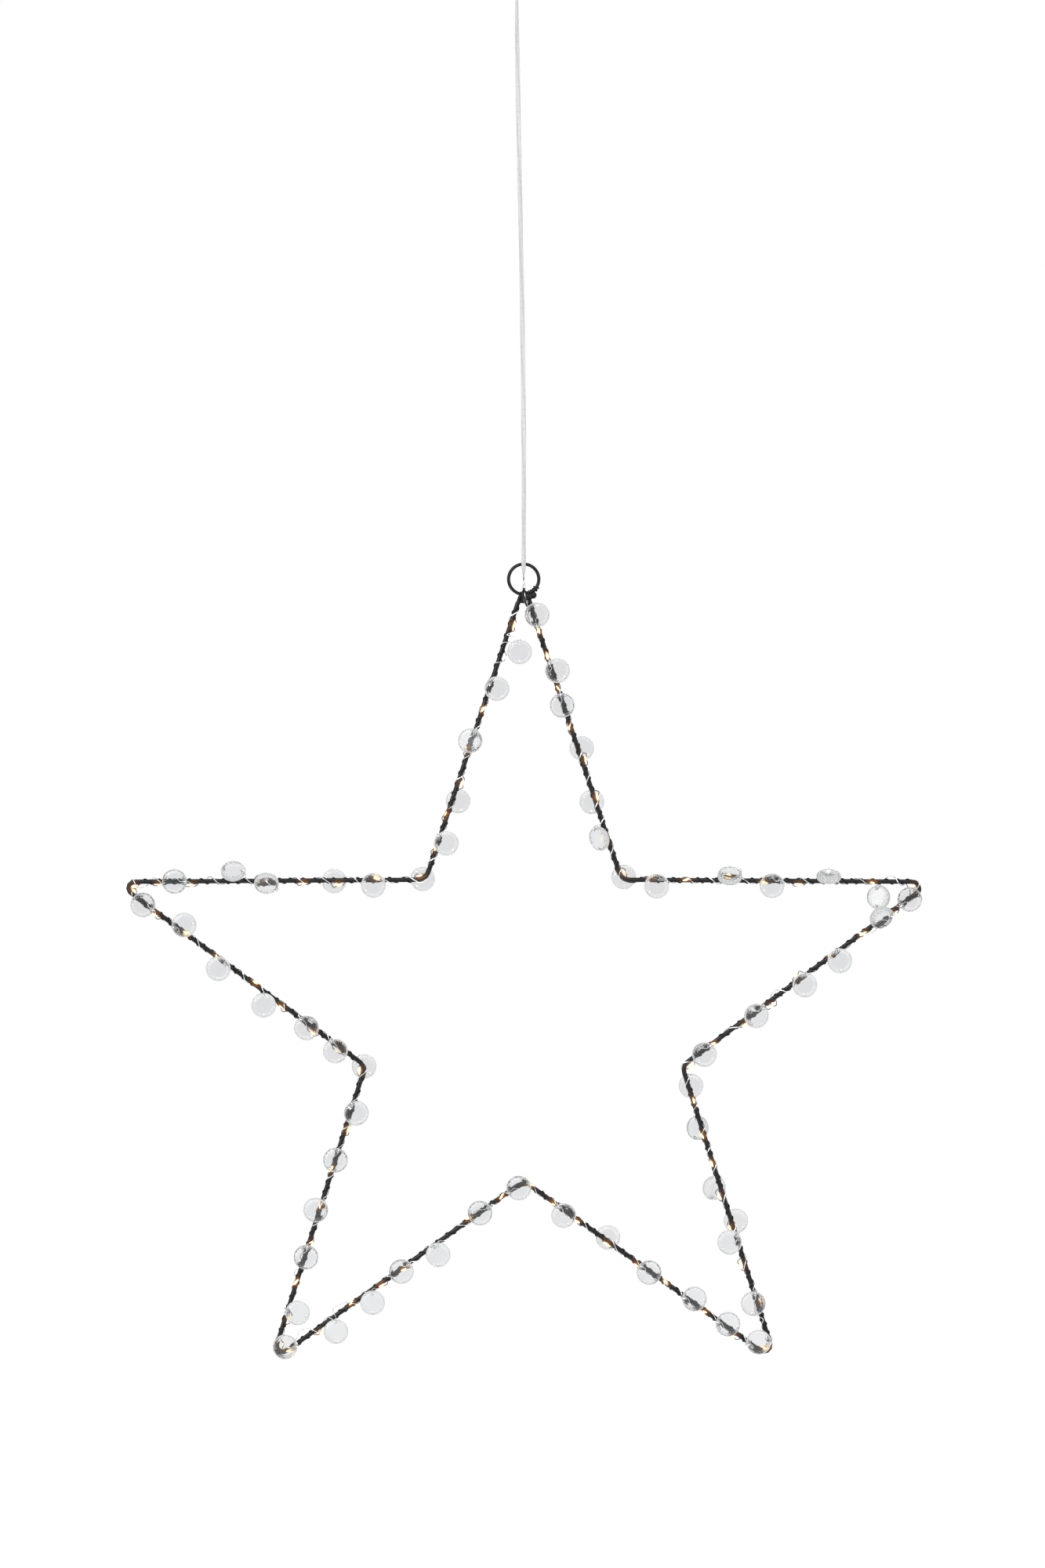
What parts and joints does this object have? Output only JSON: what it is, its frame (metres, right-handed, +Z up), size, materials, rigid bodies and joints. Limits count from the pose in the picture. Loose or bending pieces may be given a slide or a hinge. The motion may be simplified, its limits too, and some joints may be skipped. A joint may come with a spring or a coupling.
{
  "type": "hanging wire star decoration",
  "caption": "Flat five-pointed star of bent black rod, wound with lamp string and bead wire carrying clear glass discs, hung by a ring and a clear lead.",
  "frame": {"origin": "inside top of the loop at the end of the lead, where the star hangs from", "axes": "+Z up, star in the XZ plane, its front towards -Y, +X to the right seen from the front"},
  "size_m": [0.4508, 0.0252, 0.7965],
  "materials": {
    "black_coated_rod": "satin black coating",
    "black_string": "matt black insulation",
    "silver_wire": "bright plain wire",
    "clear_glass": "polished clear glass",
    "clear_lead": "clear soft plastic"
  },
  "bodies": {
    "star": {"star_frame": "black_coated_rod", "hanging_ring": "black_coated_rod", "apex_binding": "black_string", "lamp_string": "black_string", "bead_wire": "silver_wire", "lead_splice": "silver_wire", "supply_lead": "clear_lead", "lead_loop_sleeve": "silver_wire"},
    "disc_01": {"glass_disc_01": "clear_glass"},
    "disc_02": {"glass_disc_02": "clear_glass"},
    "disc_03": {"glass_disc_03": "clear_glass"},
    "disc_04": {"glass_disc_04": "clear_glass"},
    "disc_05": {"glass_disc_05": "clear_glass"},
    "disc_06": {"glass_disc_06": "clear_glass"},
    "disc_07": {"glass_disc_07": "clear_glass"},
    "disc_08": {"glass_disc_08": "clear_glass"},
    "disc_09": {"glass_disc_09": "clear_glass"},
    "disc_10": {"glass_disc_10": "clear_glass"},
    "disc_11": {"glass_disc_11": "clear_glass"},
    "disc_12": {"glass_disc_12": "clear_glass"},
    "disc_13": {"glass_disc_13": "clear_glass"},
    "disc_14": {"glass_disc_14": "clear_glass"},
    "disc_15": {"glass_disc_15": "clear_glass"},
    "disc_16": {"glass_disc_16": "clear_glass"},
    "disc_17": {"glass_disc_17": "clear_glass"},
    "disc_18": {"glass_disc_18": "clear_glass"},
    "disc_19": {"glass_disc_19": "clear_glass"},
    "disc_20": {"glass_disc_20": "clear_glass"},
    "disc_21": {"glass_disc_21": "clear_glass"},
    "disc_22": {"glass_disc_22": "clear_glass"},
    "disc_23": {"glass_disc_23": "clear_glass"},
    "disc_24": {"glass_disc_24": "clear_glass"},
    "disc_25": {"glass_disc_25": "clear_glass"},
    "disc_26": {"glass_disc_26": "clear_glass"},
    "disc_27": {"glass_disc_27": "clear_glass"},
    "disc_28": {"glass_disc_28": "clear_glass"},
    "disc_29": {"glass_disc_29": "clear_glass"},
    "disc_30": {"glass_disc_30": "clear_glass"},
    "disc_31": {"glass_disc_31": "clear_glass"},
    "disc_32": {"glass_disc_32": "clear_glass"},
    "disc_33": {"glass_disc_33": "clear_glass"},
    "disc_34": {"glass_disc_34": "clear_glass"},
    "disc_35": {"glass_disc_35": "clear_glass"},
    "disc_36": {"glass_disc_36": "clear_glass"},
    "disc_37": {"glass_disc_37": "clear_glass"},
    "disc_38": {"glass_disc_38": "clear_glass"},
    "disc_39": {"glass_disc_39": "clear_glass"},
    "disc_40": {"glass_disc_40": "clear_glass"},
    "disc_41": {"glass_disc_41": "clear_glass"},
    "disc_42": {"glass_disc_42": "clear_glass"},
    "disc_43": {"glass_disc_43": "clear_glass"},
    "disc_44": {"glass_disc_44": "clear_glass"},
    "disc_45": {"glass_disc_45": "clear_glass"},
    "disc_46": {"glass_disc_46": "clear_glass"},
    "disc_47": {"glass_disc_47": "clear_glass"},
    "disc_48": {"glass_disc_48": "clear_glass"},
    "disc_49": {"glass_disc_49": "clear_glass"},
    "disc_50": {"glass_disc_50": "clear_glass"}
  },
  "joints": [
    {"name": "disc_01_swing", "type": "hinge", "parent": "star", "child": "disc_01", "pos_m": [0.01772, -0.00705, -0.40218], "axis": [0, -1, 0], "range_deg": [-25, 25]},
    {"name": "disc_02_swing", "type": "hinge", "parent": "star", "child": "disc_02", "pos_m": [0.02364, -0.00705, -0.41998], "axis": [0, -1, 0], "range_deg": [-25, 25]},
    {"name": "disc_03_swing", "type": "hinge", "parent": "star", "child": "disc_03", "pos_m": [0.03209, 0.00705, -0.4454], "axis": [0, 1, 0], "range_deg": [-25, 25]},
    {"name": "disc_04_swing", "type": "hinge", "parent": "star", "child": "disc_04", "pos_m": [0.04175, 0.00705, -0.47446], "axis": [0, 1, 0], "range_deg": [-25, 25]},
    {"name": "disc_05_swing", "type": "hinge", "parent": "star", "child": "disc_05", "pos_m": [0.04414, -0.00557, -0.49532], "axis": [-0.5816, -0.7902, -0.1934], "range_deg": [-25, 25]},
    {"name": "disc_06_swing", "type": "hinge", "parent": "star", "child": "disc_06", "pos_m": [0.08178, -0.00705, -0.52387], "axis": [0, -1, 0], "range_deg": [-25, 25]},
    {"name": "disc_07_swing", "type": "hinge", "parent": "star", "child": "disc_07", "pos_m": [0.12366, -0.00557, -0.51984], "axis": [0.0042, -0.7902, 0.6129], "range_deg": [-25, 25]},
    {"name": "disc_08_swing", "type": "hinge", "parent": "star", "child": "disc_08", "pos_m": [0.14744, -0.00705, -0.52432], "axis": [0, -1, 0], "range_deg": [-25, 25]},
    {"name": "disc_09_swing", "type": "hinge", "parent": "star", "child": "disc_09", "pos_m": [0.17527, -0.00514, -0.51968], "axis": [0.0047, -0.729, 0.6845], "range_deg": [-25, 25]},
    {"name": "disc_10_swing", "type": "hinge", "parent": "star", "child": "disc_10", "pos_m": [0.20423, 0.00705, -0.52861], "axis": [0, 1, 0], "range_deg": [-25, 25]},
    {"name": "disc_11_swing", "type": "hinge", "parent": "star", "child": "disc_11", "pos_m": [0.20934, -0.00705, -0.54294], "axis": [0, -1, 0], "range_deg": [-25, 25]},
    {"name": "disc_12_swing", "type": "hinge", "parent": "star", "child": "disc_12", "pos_m": [0.18043, -0.00705, -0.56425], "axis": [0, -1, 0], "range_deg": [-25, 25]},
    {"name": "disc_13_swing", "type": "hinge", "parent": "star", "child": "disc_13", "pos_m": [0.16189, -0.00705, -0.57792], "axis": [0, -1, 0], "range_deg": [-25, 25]},
    {"name": "disc_14_swing", "type": "hinge", "parent": "star", "child": "disc_14", "pos_m": [0.13708, -0.00705, -0.5962], "axis": [0, -1, 0], "range_deg": [-25, 25]},
    {"name": "disc_15_swing", "type": "hinge", "parent": "star", "child": "disc_15", "pos_m": [0.10762, -0.00705, -0.61791], "axis": [0, -1, 0], "range_deg": [-25, 25]},
    {"name": "disc_16_swing", "type": "hinge", "parent": "star", "child": "disc_16", "pos_m": [0.10205, 0.00705, -0.6596], "axis": [0, 1, 0], "range_deg": [-25, 25]},
    {"name": "disc_17_swing", "type": "hinge", "parent": "star", "child": "disc_17", "pos_m": [0.11301, 0.00705, -0.69414], "axis": [0, 1, 0], "range_deg": [-25, 25]},
    {"name": "disc_18_swing", "type": "hinge", "parent": "star", "child": "disc_18", "pos_m": [0.11936, 0.00705, -0.71413], "axis": [0, 1, 0], "range_deg": [-25, 25]},
    {"name": "disc_19_swing", "type": "hinge", "parent": "star", "child": "disc_19", "pos_m": [0.1227, -0.00705, -0.72467], "axis": [0, -1, 0], "range_deg": [-25, 25]},
    {"name": "disc_20_swing", "type": "hinge", "parent": "star", "child": "disc_20", "pos_m": [0.13324, -0.00705, -0.75785], "axis": [0, -1, 0], "range_deg": [-25, 25]},
    {"name": "disc_21_swing", "type": "hinge", "parent": "star", "child": "disc_21", "pos_m": [0.11305, -0.00705, -0.77333], "axis": [0, -1, 0], "range_deg": [-25, 25]},
    {"name": "disc_22_swing", "type": "hinge", "parent": "star", "child": "disc_22", "pos_m": [0.09399, -0.00705, -0.75968], "axis": [0, -1, 0], "range_deg": [-25, 25]},
    {"name": "disc_23_swing", "type": "hinge", "parent": "star", "child": "disc_23", "pos_m": [0.06947, -0.00705, -0.74212], "axis": [0, -1, 0], "range_deg": [-25, 25]},
    {"name": "disc_24_swing", "type": "hinge", "parent": "star", "child": "disc_24", "pos_m": [0.04573, 0.00705, -0.72512], "axis": [0, 1, 0], "range_deg": [-25, 25]},
    {"name": "disc_25_swing", "type": "hinge", "parent": "star", "child": "disc_25", "pos_m": [0.02274, -0.00705, -0.70865], "axis": [0, -1, 0], "range_deg": [-25, 25]},
    {"name": "disc_26_swing", "type": "hinge", "parent": "star", "child": "disc_26", "pos_m": [-0.01764, -0.00705, -0.70886], "axis": [0, -1, 0], "range_deg": [-25, 25]},
    {"name": "disc_27_swing", "type": "hinge", "parent": "star", "child": "disc_27", "pos_m": [-0.04562, -0.00705, -0.73025], "axis": [0, -1, 0], "range_deg": [-25, 25]},
    {"name": "disc_28_swing", "type": "hinge", "parent": "star", "child": "disc_28", "pos_m": [-0.06269, -0.00705, -0.74113], "axis": [0, -1, 0], "range_deg": [-25, 25]},
    {"name": "disc_29_swing", "type": "hinge", "parent": "star", "child": "disc_29", "pos_m": [-0.08265, -0.00705, -0.75729], "axis": [0, -1, 0], "range_deg": [-25, 25]},
    {"name": "disc_30_swing", "type": "hinge", "parent": "star", "child": "disc_30", "pos_m": [-0.10335, -0.00705, -0.77366], "axis": [0, -1, 0], "range_deg": [-25, 25]},
    {"name": "disc_31_swing", "type": "hinge", "parent": "star", "child": "disc_31", "pos_m": [-0.12992, -0.00705, -0.76666], "axis": [0, -1, 0], "range_deg": [-25, 25]},
    {"name": "disc_32_swing", "type": "hinge", "parent": "star", "child": "disc_32", "pos_m": [-0.1195, -0.00705, -0.73158], "axis": [0, -1, 0], "range_deg": [-25, 25]},
    {"name": "disc_33_swing", "type": "hinge", "parent": "star", "child": "disc_33", "pos_m": [-0.11141, -0.00705, -0.7061], "axis": [0, -1, 0], "range_deg": [-25, 25]},
    {"name": "disc_34_swing", "type": "hinge", "parent": "star", "child": "disc_34", "pos_m": [-0.10215, -0.00705, -0.67693], "axis": [0, -1, 0], "range_deg": [-25, 25]},
    {"name": "disc_35_swing", "type": "hinge", "parent": "star", "child": "disc_35", "pos_m": [-0.09381, -0.00705, -0.65065], "axis": [0, -1, 0], "range_deg": [-25, 25]},
    {"name": "disc_36_swing", "type": "hinge", "parent": "star", "child": "disc_36", "pos_m": [-0.1055, -0.00705, -0.61549], "axis": [0, -1, 0], "range_deg": [-25, 25]},
    {"name": "disc_37_swing", "type": "hinge", "parent": "star", "child": "disc_37", "pos_m": [-0.12268, -0.00705, -0.60283], "axis": [0, -1, 0], "range_deg": [-25, 25]},
    {"name": "disc_38_swing", "type": "hinge", "parent": "star", "child": "disc_38", "pos_m": [-0.14415, -0.00705, -0.58929], "axis": [0, -1, 0], "range_deg": [-25, 25]},
    {"name": "disc_39_swing", "type": "hinge", "parent": "star", "child": "disc_39", "pos_m": [-0.16896, -0.00705, -0.56873], "axis": [0, -1, 0], "range_deg": [-25, 25]},
    {"name": "disc_40_swing", "type": "hinge", "parent": "star", "child": "disc_40", "pos_m": [-0.19423, -0.00705, -0.5501], "axis": [0, -1, 0], "range_deg": [-25, 25]},
    {"name": "disc_41_swing", "type": "hinge", "parent": "star", "child": "disc_41", "pos_m": [-0.18931, -0.00705, -0.52464], "axis": [0, -1, 0], "range_deg": [-25, 25]},
    {"name": "disc_42_swing", "type": "hinge", "parent": "star", "child": "disc_42", "pos_m": [-0.15662, -0.00557, -0.5201], "axis": [-0.0042, -0.7902, 0.6129], "range_deg": [-25, 25]},
    {"name": "disc_43_swing", "type": "hinge", "parent": "star", "child": "disc_43", "pos_m": [-0.13819, -0.00612, -0.52778], "axis": [0.0034, -0.8686, -0.4954], "range_deg": [-25, 25]},
    {"name": "disc_44_swing", "type": "hinge", "parent": "star", "child": "disc_44", "pos_m": [-0.09973, 0.00705, -0.52403], "axis": [0, 1, 0], "range_deg": [-25, 25]},
    {"name": "disc_45_swing", "type": "hinge", "parent": "star", "child": "disc_45", "pos_m": [-0.07787, -0.00705, -0.52388], "axis": [0, -1, 0], "range_deg": [-25, 25]},
    {"name": "disc_46_swing", "type": "hinge", "parent": "star", "child": "disc_46", "pos_m": [-0.0446, -0.00705, -0.49927], "axis": [0, -1, 0], "range_deg": [-25, 25]},
    {"name": "disc_47_swing", "type": "hinge", "parent": "star", "child": "disc_47", "pos_m": [-0.03631, 0.00705, -0.47432], "axis": [0, 1, 0], "range_deg": [-25, 25]},
    {"name": "disc_48_swing", "type": "hinge", "parent": "star", "child": "disc_48", "pos_m": [-0.02506, -0.00705, -0.44049], "axis": [0, -1, 0], "range_deg": [-25, 25]},
    {"name": "disc_49_swing", "type": "hinge", "parent": "star", "child": "disc_49", "pos_m": [-0.0154, -0.00705, -0.41144], "axis": [0, -1, 0], "range_deg": [-25, 25]},
    {"name": "disc_50_swing", "type": "hinge", "parent": "star", "child": "disc_50", "pos_m": [0.00041, -0.00705, -0.38974], "axis": [0, -1, 0], "range_deg": [-25, 25]}
  ]
}
